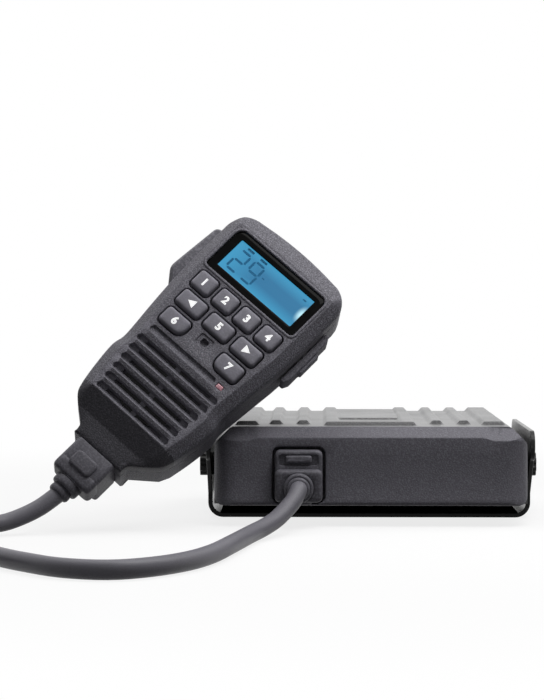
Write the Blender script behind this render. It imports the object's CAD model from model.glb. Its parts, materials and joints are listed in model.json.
import json
import math
from collections import namedtuple
from functools import partial

import bmesh
import bpy
import numpy as np
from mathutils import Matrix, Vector
from mathutils.geometry import delaunay_2d_cdt


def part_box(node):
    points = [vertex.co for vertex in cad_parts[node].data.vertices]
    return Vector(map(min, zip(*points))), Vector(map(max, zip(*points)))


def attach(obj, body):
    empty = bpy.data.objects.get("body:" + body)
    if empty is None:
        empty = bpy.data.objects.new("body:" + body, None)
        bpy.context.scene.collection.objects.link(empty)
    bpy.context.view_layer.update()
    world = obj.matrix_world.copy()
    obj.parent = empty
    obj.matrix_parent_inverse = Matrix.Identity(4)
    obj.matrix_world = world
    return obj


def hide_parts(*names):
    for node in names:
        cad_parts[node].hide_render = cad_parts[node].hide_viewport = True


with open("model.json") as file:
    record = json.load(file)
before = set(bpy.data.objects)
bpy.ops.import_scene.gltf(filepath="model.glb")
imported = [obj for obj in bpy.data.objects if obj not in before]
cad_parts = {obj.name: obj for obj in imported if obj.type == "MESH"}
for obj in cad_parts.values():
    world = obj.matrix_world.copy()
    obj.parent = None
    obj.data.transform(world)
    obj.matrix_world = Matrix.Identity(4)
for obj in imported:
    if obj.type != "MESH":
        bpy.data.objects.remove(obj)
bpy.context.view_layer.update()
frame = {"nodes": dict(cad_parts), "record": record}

bl_info = {
    "name": "Mobile radio dresser",
    "version": (1, 0, 0),
    "blender": (4, 5, 0),
    "location": "3D View > Sidebar > Mobile radio",
    "description": "Dresses the packed solids of a mobile radio and its remote handset",
    "category": "Object",
}

MM = 0.001
FINISH = {}
BODY_OF = {node: body for body, nodes in frame["record"]["behaviour"]["bodies"].items() for node in nodes}
SLOT_OF = {row["node"]: row["material_slot"] for row in frame["record"]["subparts"]}


# Reading the frame
def read(items, attribute, width=3, kind=np.float32):
    """One attribute of a mesh's items, as an array with a row for each."""
    values = np.empty(len(items) * width, kind)
    items.foreach_get(attribute, values)
    return values.reshape(-1, width)


def turn(axis, degrees):
    """Matrix of a turn about x, y or z."""
    i = "xyz".index(axis)
    j, k = (i + 1) % 3, (i + 2) % 3
    c, s = math.cos(math.radians(degrees)), math.sin(math.radians(degrees))
    m = np.eye(3)
    m[j, j] = m[k, k] = c
    m[j, k], m[k, j] = -s, s
    return m


# Place of the handset in the part's frame, in mm, and its turns in degrees
HANDSET_PLACE = np.array((-33.9, -42.5, 79.1))
HANDSET_YAW = 5
HANDSET_LEAN = -24
HANDSET_ROLL = 44
HANDSET_TURN = turn("z", HANDSET_YAW) @ turn("x", HANDSET_LEAN) @ turn("y", HANDSET_ROLL)


def on_handset(points):
    """Points in mm of the handset's own frame (right, into the back, up) in the part's frame."""
    return np.asarray(points, float) @ HANDSET_TURN.T + HANDSET_PLACE


def in_handset(points):
    """Points in metres of the part's frame in the handset's own frame, in mm."""
    return (points / MM - HANDSET_PLACE) @ HANDSET_TURN


def radio_box(node):
    """Lowest and highest corner of a node in mm, to a hundredth, because the frame holds single floats."""
    return np.round(np.array(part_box(node), float) / MM, 2)


def handset_box(node):
    """Lowest and highest corner of a node in the handset's frame, in mm, to a hundredth."""
    points = in_handset(read(frame["nodes"][node].data.vertices, "co"))
    return np.round((points.min(0), points.max(0)), 2)


# Sizes are in mm, angles in degrees. A LINE, WELL or LIP has pairs: how far an outline grows, and its depth.
# Outline and face of the handset
SHELL_LOW, SHELL_HIGH = handset_box("handset_front_shell")
HANDSET_HALF = SHELL_HIGH[0]
HANDSET_TOP = SHELL_HIGH[2]
NECK_END = SHELL_LOW[2]
HANDSET_CROWN = 1.0
HANDSET_CORNER = 9.0
ARCH_HALF = 11
CORNER_FROM = 76
CORNER_TO = 6
# The right side from the corner down to the neck, as x and z
SIDE_CURVE = ((HANDSET_HALF, 7), (24.1, -6), (23.7, -18), (22.7, -30), (21.6, -40), (21.3, -45),
              (22.0, -49.5), (21.1, -58), (19.6, -66), (18.0, -69.4), (14.0, -72.9), (10.8, -75.5),
              (10.0, -77.4), (10.0, NECK_END))
SIDE_STEPS = 5
FACE_BEVEL = 3.9
CREASE = 0.45
FACET_LOW = 10.2
FACET_RISE = 0.52
FACET_LIFT = 3.2
FACET_FROM = 2
FACET_RUN = 12
FACET_HALF = 18
CHIN_TOP = -64.5
CHIN_RUN = 7.0
CHIN_DEPTH = 3.6
CHIN_ROUND = 0.06
CHIN_CLEAR = 0.3
# Where lines run that the face's fill follows: insets, lifts, and heights as from, to and count
BEVEL_INSETS = (1.1, 1.8, 2.6, 3.1, 3.3, 3.45, 3.6, 3.75, FACE_BEVEL)
FACET_LIFTS = (0, 0.15, 0.3, 0.45, 0.8)
CHIN_LEVELS = ((CHIN_TOP, CHIN_TOP - 0.5, 5), (CHIN_TOP - 1.5, CHIN_TOP - 6.5, 6),
               (CHIN_TOP - CHIN_RUN, CHIN_TOP - CHIN_RUN - 0.5, 5))
# Inset and share of the way down to the skirt, then inset, depth and 1 where the pocket is sunk
SHOULDER = 0.55
SKIRT_TOP = 4.4
SHOULDER_ROWS = ((SHOULDER, 0), (0.3, 0.32), (0.12, 0.6), (0.03, 0.82), (0, 1))
SKIRT_ROWS = ((0, 5.28, 0), (0, 5.32, 1), (0, 8.6, 1), (0.1, 8.8, 1), (0.32, 8.96, 1))
POCKET = (-21.3, 6.7)
POCKET_DEEP = 4.6
POCKET_EDGE = 0.02

# Display
WINDOW_Z = -0.25
WINDOW_W = 38.0
WINDOW_H = 17.5
WINDOW_R = np.array((2.2, 3.0, 1.4, 1.4))
WINDOW_LIP = ((1.0, 0), (0.96, -0.14), (0.84, -0.31), (0.62, -0.4), (0.34, -0.4), (0.14, -0.33),
              (0.03, -0.16), (0, 0.1), (0, 3.75))
LENS_EASE = 0.3
LENS_OUTER_LINE = ((0, 1.6), (0, 0.5), (-0.05, 0.43), (-0.15, 0.4))
LENS_INNER_LINE = ((0.2, 0.4), (0.06, 0.43), (0, 0.52), (0, 1.6))
LCD_W = 32.0
LCD_H = 12.2
LCD_R = 0.4
LCD_FRONT = 1.2
LCD_LINE = ((0.6, 3.6), (0.6, 1.3), (0.5, LCD_FRONT))
# Seven-bar figures: numeral and x of each, then their height, half sizes, gaps and how far they stand out
FIGURES = (("2", -11.7), ("9", -5.6))
FIGURE_Z = -0.6
FIGURE_HALF_W = 2.0
FIGURE_HALF_H = 3.9
BAR_HALF = 0.4
BAR_GAP = 0.22
FIGURE_PROUD = 0.03
# Other marks on the glass: width, height, corner, x and z
MARKS = ((2.8, 0.8, 0.2, -11.2, 4.9), (2.8, 0.8, 0.2, -5.6, 4.9), (1.4, 0.5, 0.2, 13.2, 4.0),
         (1.0, 0.4, 0.1, -1.7, 0.3))

# Keys
KEY_R = 1.5
KEY_INNER_R = 3.2
KEY_LEAST_R = 0.6
KEY_EASE = 0.2
KEY_WELL = ((0.6, 0), (0.5, 0.02), (0.41, 0.1), (0.35, 0.24), (0.32, 0.45), (0.32, 5.5))
KEY_LINE = ((0, 4.6), (0, 0.15), (-0.06, -0.35), (-0.16, -0.72), (-0.34, -1.02), (-0.6, -1.22),
            (-0.95, -1.33), (-1.4, -1.38), (-2.0, -1.4))
ARROW_SIZE = 1.5
ARROW_BACK = 0.8
ARROW_DEPTH = -1.36
NUMERAL_DEPTH = -1.4
NUMERAL_WEIGHT = 0.045
LEGEND_HEIGHT = 0.08

# Microphone, status light, louvres and talk bar
MIC_Z = -29.6
MIC_W = 5.4
MIC_H = 4.2
MIC_CORNER = 0.9
MIC_R = 1.45
MIC_WELL = ((0.25, 0), (0.1, 0.05), (0, 0.2), (-0.06, 0.5))
MIC_BORE_LINE = ((0.4, 0.5), (0.1, 0.58), (0, 0.8), (0, 2.1))
LIGHT_X = 14.0
LIGHT_Z = -37.6
LIGHT_W = 2.6
LIGHT_H = 1.8
LIGHT_R = 0.4
LIGHT_WELL = ((0.2, 0), (0.05, 0.06), (0, 0.2), (0, 2.6))
LIGHT_LINE = ((-0.08, 2.5), (-0.08, 0.3), (-0.16, 0.16), (-0.34, 0.08), (-0.6, 0.05))
# Ends of the blind groove beside the light, and its share of the depth
BLIND_LOUVRE = (-16.3, 11.9)
BLIND_SHARE = 0.5
SLOT_Z = -42.6
SLOT_PITCH = 4.1
SLOT_COUNT = 6
SLOT_HALF = 17.3
SLOT_TAPER = 0.41
SLOT_BLIND = 3.5
SLOT_WEB = 1.0
SLOT_EDGE = 0.03
SLOT_FROM = 0.13
SLOT_TO = 1.23
SLOT_THROUGH = 3.6
# Height and depth across a groove, from its lower lip to its upper edge
LOUVRE_SECTION = ((-1.5, 0), (-1.46, -0.04), (-1.4, -0.03), (-1.1, 0.22), (-1.04, 0.34), (-0.2, 1.5),
                  (0.1, 1.8), (0.16, 1.9), (1.2, 1.9), (1.26, 1.85), (1.36, 0.3), (1.42, 0.08), (1.5, 0))
LOUVRE_HALF = 1.5
LOUVRE_ROUND = 0.96
LOUVRE_TUCK = 1.7
# Distance from a groove's end and the share of its depth there
LOUVRE_END = ((0, 0), (0.1, 0.12), (0.22, 0.6), (0.4, 1))
# Heights over a groove's middle, and depths, between which its finish is paler
PALE_HEIGHTS = (-0.3, 1.45)
PALE_DEPTHS = (0.4, 4)
PALE_EASE = 0.05
CHIN_EDGE = 0.3
PTT_OUTLINE = ((-22.3, 6.4), (-23.6, 6.4), (-26.9, 5.6), (-28.1, -9.5), (-28.5, -15.2), (-24.0, -21),
               (-22.3, -21))
PTT_CORNER = 1.6
PTT_FRONT = 5.6
PTT_BACK = 13.4
PTT_LINE = ((-1.3, PTT_FRONT), (-1.18, PTT_FRONT + 0.03), (-1.0, PTT_FRONT + 0.16), (-0.28, PTT_FRONT + 1.2),
            (-0.08, PTT_FRONT + 1.6), (0, PTT_FRONT + 2.1), (0, PTT_BACK - 0.75), (-0.15, PTT_BACK - 0.32),
            (-0.4, PTT_BACK - 0.1), (-0.75, PTT_BACK))

# Case and front panel
PANEL_LOW, PANEL_HIGH = radio_box("radio_front_panel")
CASE_HALF, CASE_SEAM, CASE_TOP = PANEL_HIGH
CASE_FRONT = PANEL_LOW[1]
CASE_LOW = PANEL_LOW[2]
CASE_REAR = radio_box("radio_top_cover")[1][1]
CASE_SPLIT = 22.0
CASE_CHAMFER = 5.5
CASE_WALL = 2.0
PANEL_LEAN = 1.6
PANEL_EDGE = 1.2
PANEL_EDGE_INSETS = (0.25, 0.12, 0.04, 0.0)
PANEL_BACK_GAP = 0.1
CORNER_ROLL = 7.5
FOOT_ROLL = 1.3
FOOT_CORNER = 3.6
FOOT_DRAW = 0.7
SLOPE_H = 3.5
SLOPE_D = 6.0
SLOPE_ROUND = 0.6
CREASE_FROM = 36.0
CREASE_TO = 40.0
CREASE_DROP = 1.0
# Where lines run that the panel's fill follows: angles round the ends, stretches across and lifts
END_ANGLES = (0, 12, 25, 38, 50, 61, 71)
END_CLEAR = 0.9
SLOPE_RUNS = ((-47, -41, 7), (-CREASE_TO, -CREASE_FROM, 9), (-33, 33, 9), (CREASE_FROM, CREASE_TO, 9),
              (41, 47, 7))
SLOPE_LIFTS = (0, 0.15, 0.3, 0.45, 0.6, 1.4)
FOOT_RUN = (-44, 44, 23)
FOOT_LIFTS = (0.35, 0.5, 0.7, 1.0, FOOT_ROLL, 2.2, 3.4, 5, 7, 9.5, 12.5, 16)

# Ribbed cover
RIB_H = 1.3
RIB_FLANK = 1.6
RIB_FRONT_RUN = 0.4
# Middle, width and front end of each rib on both sides
RIBS = ((22.0, 3.7, -30.0), (31.0, 3.7, -30.0), (40.5, 7.0, -34.0), (12.5, 4.5, -37.0))
FRAME_HALF = 13.3
FRAME_FRONT = -37.0
FRAME_BACK = -33.0
FRAME_FLANK = 1.4
PAD_HALF = 10.3
PAD_FRONT = -4.0
PAD_H = 0.63
PAD_FLANK = 0.6
PAD_FRONT_RUN = 0.3
# Offsets from the lower and the upper corner of the chamfer
LOWER_BEND = ((0, -1.0), (0.12, -0.4), (0.5, 0.35), (1.0, 1.0))
UPPER_BEND = ((-1.0, -1.0), (-0.35, -0.5), (0.4, -0.12), (1.0, 0))
COVER_SIDE_Z = 24
COVER_FLAT_INSET = 1.3
COVER_COLUMNS = 300
COVER_INNER_INSET = 0.8
# Stretches from the seam to the rear, closest where the ribs start
COVER_RUNS = ((CASE_SEAM, -38, 5), (-37.3, -28.6, 59), (-27, -5, 7), (-4.3, -3.4, 10), (-2, CASE_REAR, 8))
RIB_LEVEL = 0.2

# Plug, its recess in the panel and the bracket's seat; SHELF and BLOCK give places on the plug's axis
RADIO_EXIT = np.array((-23.4, -62.3, 13.1))
RECESS_X = RADIO_EXIT[0]
RECESS_Z = 16.55
RECESS_W = 17.1
RECESS_H = 18.3
RECESS_R = 2.4
RECESS_DEEP = 6.0
RECESS_RIM = 0.45
RECESS_CLEAR = 0.8
RECESS_LIP = ((RECESS_RIM, 0), (0.28, 0.05), (0.12, 0.17), (0.03, 0.36), (0, 0.6))
PLUG_W = 15.3
PLUG_H = 16.5
PLUG_MID = 3.45
PLUG_R = 1.8
PLUG_SPACING = 0.7
PLUG_SHELF = 9.0
PLUG_BLOCK = 12.5
PLUG_STEP = 6.0
PLUG_BACK = 8.2
SHELF_LINE = ((-0.6, 0), (-0.15, 0.12), (0, 0.5), (0, PLUG_SHELF - 1.1), (-0.1, PLUG_SHELF - 0.6),
              (-0.35, PLUG_SHELF - 0.22), (-0.65, PLUG_SHELF - 0.05), (-1.0, PLUG_SHELF))
BLOCK_LINE = ((-0.3, PLUG_SHELF - 1.4), (-0.02, PLUG_SHELF - 1.1), (0.02, PLUG_SHELF + 0.3),
              (0, PLUG_BLOCK - 1.5), (-0.1, PLUG_BLOCK - 0.95), (-0.32, PLUG_BLOCK - 0.5),
              (-0.65, PLUG_BLOCK - 0.18), (-1.1, PLUG_BLOCK - 0.03), (-1.5, PLUG_BLOCK))
# Radius of the two rings on the cord's side, and place past the block
PLUG_RINGS = ((5.0, 0), (4.75, -0.15), (4.6, 0.1), (4.75, 0.4), (4.8, 0.9), (4.8, 1.9), (4.72, 2.4),
              (4.5, 2.8), (4.1, 3.0), (3.75, 2.95), (3.4, 2.8), (3.3, 3.1), (3.5, 3.5), (3.65, 3.9),
              (3.7, 4.6), (3.6, 5.2), (3.3, 5.6), (2.8, 5.75), (2.6, 5.7))
RELEASE_AT = 8.6
RELEASE_W = 12.6
RELEASE_H = 3.4
RELEASE_R = 0.6
RELEASE_RIM = 0.3
RELEASE_WELL = ((RELEASE_RIM, 0), (0.1, 0.06), (0, 0.25), (0, 0.9))
# Width, height and corner of the bar and of the pad; the pad's line says how far it stands out
RELEASE_BAR = (8.4, 2.5, 0.7)
RELEASE_BAR_LIFT = 0.25
RELEASE_BAR_LEAST_R = 0.3
RELEASE_BAR_LINE = ((0, 1.6), (0, 0), (-0.08, -0.3), (-0.25, -0.52), (-0.5, -0.65), (-0.8, -0.7))
THUMB_PAD = (8.6, 5.6, 1.6)
THUMB_PAD_BACK = 2.8
THUMB_PAD_LINE = ((0.1, -0.5), (0.1, 0.1), (0, 0.4), (-0.16, 0.72), (-0.4, 0.92), (-0.8, 1.0))
SEAT_TOP = 4.0
FACING_UP = 0.95

# Cord, its coil and the coil's tie
CORD_R = 2.75
CORD_LIFT = 2.8
CORD_SIDES = 16
COIL_X = -166
COIL_Y = -128
COIL_R = 40
COIL_PITCH = 6.2
COIL_TURNS = 5.96
COIL_START = 22
COIL_STEPS = 24
COIL_CLIMB = 0.5
CORD_TUCK = 1.5
HANDSET_EXIT = handset_box("handset_plug")[0][2]
# The cord's way down to the floor and on to the coil, and from there up to the handset, as x, y and z
TO_COIL = ((-24.8, -68.5, 10.4), (-27.4, -73, 7.6), (-30.4, -79, 5.2), (-34, -87, 3.6),
           (-37.5, -97, CORD_LIFT), (-42.5, -125, CORD_LIFT), (-47, -148, CORD_LIFT), (-53, -165, CORD_LIFT),
           (-62, -178, CORD_LIFT),
           (-73, -184.5, CORD_LIFT), (-86, -180, CORD_LIFT), (-97, -168, CORD_LIFT), (-105, -157, CORD_LIFT),
           (-117, -137, CORD_LIFT))
FROM_COIL = ((-127.4, -104, 8.6), (-126.2, -96, 7.2), (-124, -88.5, 5.4), (-120.5, -81.8, 4.0),
             (-115.6, -77.6, 3.9), (-110.2, -74.7, 5.5), (-104.5, -71.9, 8.2))
TIE_AT = 250
TIE_IN = 1.2
TIE_OUT = 1.5
TIE_TURNS = 3
TIE_TOP = 12.3
TIE_FOOT = 0.1
TIE_CORNER = 3.0
TIE_SECTION = (7.0, 0.8, 0.3)

# Making of meshes: merging distances, an angle, and the share of a side that a round corner may take
WELD = 0.004
FINE_WELD = 0.0005
NODE_WELD = 0.002
FLAT_ANGLE = 1.0
FILL_GAP = 1e-5
CORNER_SHARE = 0.48
CLOSEST = 0.02

# Stage, in metres but for the sensor: lamps have a place, a target, a size and a share of the power
SENSOR_WIDTH = 36.0
CLIP = (0.01, 20)
LAMPS = (
    ("lamp_overhead", (-0.2, 0.16, 1.0), (0, -0.02, 0.03), 0.8, 1.0),
    ("lamp_right", (0.6, 0.2, 0.8), (0, -0.02, 0.03), 0.6, 0.6),
    ("lamp_near", (0.07, -0.13, 0.29), (-0.01, -0.04, 0.08), 0.16, 0.115),
    ("lamp_front", (0.2, -1.1, 0.7), (-0.02, -0.04, 0.05), 0.6, 0.05),
)
FLOOR_RADII = (0.001, 0.4, 9.0)
FLOOR_STEP = 5
FLOOR_DROP = 0.0001
SHADE_FROM = 0.1
SHADE_TO = 0.36
SHADE_LEAST = 0.8
WHITE = (1, 1, 1, 1)

# Finishes: socket numbers of a Mix node for colours, values of the groups and of the lit glass
MIX_FACTOR = 0
MIX_A = 6
MIX_B = 7
MIX_RESULT = 2
COOL = 0.12
COVER_COOL = 0.03
GRAIN_SCALE = 1500.0
DRIFT_SCALE = 45.0
RUB_SCALE = 700.0
SPECK_RANGE = (0.45, 0.66)
DRIFT_RANGE = (0.3, 0.7)
RUB_RANGE = (0.51, 0.62)
LCD_DEEP = (0.032, 0.17, 0.33, 1)
LCD_PALE = (0.05, 0.31, 0.53, 1)
LCD_LAMP = (0.55, 0.9, 1.0, 1)
LCD_BASE = (0.01, 0.03, 0.05, 1)
PALE_OFF_MIDDLE = (0.15, 0.5)
PALE_AT_LEFT = (0.4, 0.0)
LAMP_REACH = 0.33
LAMP_SHIFT = (-4.95, -0.48, 0)
LAMP_SCALE = (5.0, 1.0, 1)

Key = namedtuple("Key", "name x z width height rounder legend")


def handset_key(name, legend, rounder=0):
    """A key with its place and size from its node; rounder is the side of its rounder lower corner, or 0."""
    low, high = handset_box(name)
    x, _, z = np.round((low + high) / 2, 3)
    width, _, height = np.round(high - low, 3)
    return Key(name, x, z, width, height, rounder, legend)


KEYS = (
    handset_key("top_key_1", "1"),
    handset_key("top_key_2", "2"),
    handset_key("top_key_3", "3"),
    handset_key("top_key_4", "4"),
    handset_key("arrow_key_left", "<"),
    handset_key("centre_key", "5"),
    handset_key("arrow_key_right", ">"),
    handset_key("lower_key_left", "6", rounder=1),
    handset_key("lower_key_right", "7", rounder=-1),
)


# Shapes
def unit(v):
    """Vectors scaled to length 1 along the last axis."""
    return v / np.linalg.norm(v, axis=-1, keepdims=True)


def ease(s, r):
    """0 below 0, a parabola of length r, then a straight rise of slope 1."""
    s = np.maximum(s, 0)
    return np.where(s < r, s * s / (2 * r), s - r / 2)


def soft_step(t):
    """Soft step from 0 to 1 as t goes from 0 to 1: three squares less two cubes."""
    t = np.clip(t, 0, 1)
    return t * t * (3 - 2 * t)


def soft_largest(*depths):
    """The largest of some depths with soft meetings: the fifth root of the sum of their fifth powers."""
    return sum(depth ** 5 for depth in depths) ** 0.2


def runs(stretches):
    """Even steps along stretches, each given as from, to and count."""
    return np.concatenate([np.linspace(*stretch) for stretch in stretches])


def smooth_curve(points, steps):
    """Cubic through the points, each span's tangents half the chord between its neighbours, ends doubled."""
    p = np.asarray(points, float)
    n = len(p)
    a, b, c, d = (p[np.clip(np.arange(n - 1) + k, 0, n - 1)][:, None] for k in (-1, 0, 1, 2))
    t = (np.arange(steps) / steps)[None, :, None]
    square = 2 * a - 5 * b + 4 * c - d
    cube = 3 * b - a - 3 * c + d
    run = 0.5 * (2 * b + (c - a) * t + square * t ** 2 + cube * t ** 3)
    return np.vstack([run.reshape(-1, p.shape[1]), p[-1:]])


def round_rect(w, h, radii, grow=0.0, steps=6, least=0.05):
    """Rectangle with four corner arcs, from the upper right one round to the left; grow moves it outwards."""
    r = np.maximum(np.broadcast_to(radii, 4) + grow, least)
    sx, sz = np.array((1, -1, -1, 1)), np.array((1, 1, -1, -1))
    a = np.radians(np.array((0, 90, 180, 270))[:, None] + np.linspace(0, 90, steps + 1))
    x = (sx * (w / 2 + grow - r))[:, None] + r[:, None] * np.cos(a)
    z = (sz * (h / 2 + grow - r))[:, None] + r[:, None] * np.sin(a)
    return np.stack([x.ravel(), z.ravel()], 1)


def round_polygon(points, radius, steps=4):
    """Polygon whose corners are parabolas that start a radius before each corner and end a radius after."""
    p = np.asarray(points, float)
    back, on = np.roll(p, 1, 0) - p, np.roll(p, -1, 0) - p
    shorter = np.minimum(np.linalg.norm(back, axis=1), np.linalg.norm(on, axis=1))
    r = np.minimum(radius, CORNER_SHARE * shorter)[:, None]
    t = np.linspace(0, 1, steps + 1)[None, :, None]
    a, b = (p + r * unit(back))[:, None], (p + r * unit(on))[:, None]
    return ((1 - t) ** 2 * a + 2 * t * (1 - t) * p[:, None] + t * t * b).reshape(-1, 2)


def outward(loop):
    """Outward normals of a closed loop that runs clockwise, from the chord between neighbours."""
    t = unit(np.roll(loop, -1, 0) - np.roll(loop, 1, 0))
    return np.stack([-t[:, 1], t[:, 0]], 1)


def edge_distance(points, loop):
    """Distance from each point to the nearest side of a closed loop."""
    ab = np.roll(loop, -1, 0) - loop
    ap = points[:, None] - loop[None]
    t = np.clip((ap * ab).sum(-1) / np.maximum((ab * ab).sum(-1), 1e-12), 0, 1)
    return np.sqrt(((ap - t[..., None] * ab) ** 2).sum(-1)).min(1)


def inside(points, loop):
    """True where a ray to the right crosses the loop an odd number of times."""
    a, b = loop, np.roll(loop, -1, 0)
    x, z = points[:, :1], points[:, 1:]
    rise = b[:, 1] - a[:, 1]
    at = a[:, 0] + (z - a[:, 1]) * (b[:, 0] - a[:, 0]) / np.where(rise == 0, 1, rise)
    return (((a[:, 1] > z) != (b[:, 1] > z)) & (x < at)).sum(1) % 2 == 1


def line_loop(x, z):
    """A line through places x at heights z, either of them one number, as a loop that doubles back."""
    line = np.stack(np.broadcast_arrays(x, z), 1)
    return np.vstack([line, line[-2:0:-1]])


def resample(loop, step):
    """A closed loop with points added along its sides, at most a step apart."""
    closed = np.vstack([loop, loop[:1]])
    length = np.linalg.norm(np.diff(closed, axis=0), axis=1)
    at = np.concatenate([[0], np.cumsum(length)])
    stops = np.union1d(at[:-1], np.arange(0, at[-1], step))
    stops = stops[np.concatenate([[True], np.diff(stops) > CLOSEST])]
    return np.stack([np.interp(stops, at, closed[:, k]) for k in (0, 1)], 1)


def grid_faces(rows, cols, closed=True):
    """Four-sided faces of a grid of points; closed joins the last column to the first."""
    r, c = np.meshgrid(np.arange(rows - 1), np.arange(cols if closed else cols - 1), indexing="ij")
    a, b = r * cols + c, r * cols + (c + 1) % cols
    return np.stack([a, b, b + cols, a + cols], -1).reshape(-1, 4)


def carried(rows, cap_first=False, cap_last=False, ring=False):
    """Skin over rows of equal counts; caps are single faces, and ring joins the last row to the first."""
    points = np.asarray(rows, float)
    m, n = points.shape[:2]
    faces = grid_faces(m, n).tolist()
    if ring:
        a = np.arange(n)
        b = np.roll(a, -1)
        faces += np.stack([(m - 1) * n + a, (m - 1) * n + b, b, a], 1).tolist()
    if cap_first:
        faces.append(np.arange(n)[::-1].tolist())
    if cap_last:
        faces.append(((m - 1) * n + np.arange(n)).tolist())
    return points.reshape(-1, 3), faces


def capped(rows):
    """Closed skin over rows, with a single face at each end."""
    return carried(rows, cap_first=True, cap_last=True)


def placed(part, place):
    """A part of points and faces, with its points put through a function."""
    points, faces = part
    return place(points), faces


def at_depth(loop, depth, centre=(0, 0)):
    """Flat points (x, z) round a centre, set at a depth."""
    flat = np.asarray(loop, float) + centre
    return np.stack([flat[:, 0], np.broadcast_to(depth, len(flat)), flat[:, 1]], 1)


def stepped(outline, line, centre=(0, 0)):
    """Rows of one outline for a line's pairs of grow and depth."""
    return [at_depth(outline(grow), depth, centre) for grow, depth in line]


def fill_face(outer, lines, holes):
    """Flat fill between loops by a constrained triangulation, because a grid leaves round corners ragged."""
    loops = [outer, *lines, *holes]
    points = np.vstack(loops)
    ends = np.cumsum([0] + [len(loop) for loop in loops])
    numbers = [np.arange(start, end) for start, end in zip(ends, ends[1:])]
    edges = np.vstack([np.stack([run, np.roll(run, -1)], 1) for run in numbers])
    corners = [Vector(p) for p in points.tolist()]
    flat, _, faces, *_ = delaunay_2d_cdt(corners, edges.tolist(), [], 0, FILL_GAP)
    flat, faces = np.array([tuple(p) for p in flat]), np.array(faces)
    middle = flat[faces].mean(1)
    keep = inside(middle, outer)
    for hole in holes:
        keep &= ~inside(middle, hole)
    return flat, faces[keep]


def tube(path, radius, sides):
    """Circle carried along a path, square to its tangent, with the floor's upright for a second axis."""
    t = unit(np.gradient(path, axis=0))
    side = unit(np.cross(t, (0, 0, 1.0)))
    up = np.cross(side, t)
    a = np.arange(sides) * 2 * np.pi / sides
    rows = path[:, None] + radius * (np.cos(a)[:, None] * side[:, None] + np.sin(a)[:, None] * up[:, None])
    return capped(rows)


# Pieces
def link(name, data):
    """An object at the origin for a mesh or a curve."""
    obj = bpy.data.objects.new(name, data)
    bpy.context.scene.collection.objects.link(obj)
    return obj


def turn_outwards(bm):
    """Points every face outwards."""
    bmesh.ops.recalc_face_normals(bm, faces=bm.faces)


def join_flat(bm):
    """Joins neighbouring faces that lie in one plane."""
    bmesh.ops.dissolve_limit(bm, angle_limit=math.radians(FLAT_ANGLE), verts=bm.verts, edges=bm.edges)


def new_mesh(name, points, faces, weld, mend):
    """Smooth mesh from points in metres, its doubles merged within a distance in mm and then mended."""
    mesh = bpy.data.meshes.new(name)
    mesh.from_pydata(points.tolist(), [], faces)
    bm = bmesh.new()
    bm.from_mesh(mesh)
    bmesh.ops.remove_doubles(bm, verts=bm.verts, dist=weld * MM)
    mend(bm)
    bm.to_mesh(mesh)
    bm.free()
    mesh.polygons.foreach_set("use_smooth", np.ones(len(mesh.polygons), bool))
    return mesh


def piece(name, parts, body, finish, replaces=(), weld=WELD, sharp=40):
    """Object from parts of points in mm and faces: welded, outwards, smooth up to an angle in degrees."""
    starts = np.cumsum([0] + [len(points) for points, _ in parts]).tolist()
    faces = [[start + i for i in face] for start, (_, part) in zip(starts, parts) for face in part]
    points = np.vstack([points for points, _ in parts]) * MM
    mesh = new_mesh(name, points, faces, weld, turn_outwards)
    mesh.set_sharp_from_angle(angle=math.radians(sharp))
    return settle(link(name, mesh), body, finish, replaces)


def stand_in(name, node, parts, sharp=40):
    """A piece in the place of a node, with that node's body, slot and finish."""
    return piece(name, parts, BODY_OF[node], SLOT_OF[node], (node,), sharp=sharp)


def dressed(node, width, segments=2, angle=30):
    """Merged copy of a node's mesh with its flat faces joined and its edges rounded to a width in mm."""
    name = node + "_dressed"
    source = frame["nodes"][node].data
    source.calc_loop_triangles()
    faces = read(source.loop_triangles, "vertices", kind=np.int32).tolist()
    obj = link(name, new_mesh(name, read(source.vertices, "co"), faces, NODE_WELD, join_flat))
    bevel = obj.modifiers.new("Rounded edges", "BEVEL")
    bevel.width = width * MM
    bevel.segments = segments
    bevel.limit_method = "ANGLE"
    bevel.angle_limit = math.radians(angle)
    bevel.harden_normals = True
    even = obj.modifiers.new("Even shading", "WEIGHTED_NORMAL")
    even.keep_sharp = True
    return settle(obj, BODY_OF[node], SLOT_OF[node], (node,))


def settle(obj, body, finish, replaces=()):
    """Gives a piece its finish, its body and the nodes that it stands for."""
    obj.data.materials.clear()
    obj.data.materials.append(FINISH[finish])
    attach(obj, body)
    if replaces:
        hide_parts(*replaces)
    return obj


# Shader nodes
def new_group(name, inputs, outputs):
    """Empty shader group with named sockets; returns the tree, its input sockets and its output node."""
    tree = bpy.data.node_groups.new(name, "ShaderNodeTree")
    for socket, kind, value in inputs:
        made = tree.interface.new_socket(socket, in_out="INPUT", socket_type=kind)
        if value is not None:
            made.default_value = value
    for socket in outputs:
        tree.interface.new_socket(socket, in_out="OUTPUT", socket_type="NodeSocketFloat")
    return tree, tree.nodes.new("NodeGroupInput").outputs, tree.nodes.new("NodeGroupOutput")


def blank_tree(owner):
    """The emptied node tree of a material or a world."""
    owner.use_nodes = True
    owner.node_tree.nodes.clear()
    return owner.node_tree


def add(tree, kind, inputs=(), **values):
    """A node with its own values set by name and its inputs linked from sockets or set to constants."""
    node = tree.nodes.new(kind)
    for key, value in values.items():
        setattr(node, key, value)
    for target, source in inputs:
        if hasattr(source, "is_output"):
            tree.links.new(source, node.inputs[target])
        else:
            node.inputs[target].default_value = source
    return node


def maths(tree, operation, *values):
    """Result of one operation on sockets or numbers."""
    return add(tree, "ShaderNodeMath", enumerate(values), operation=operation).outputs[0]


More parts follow.
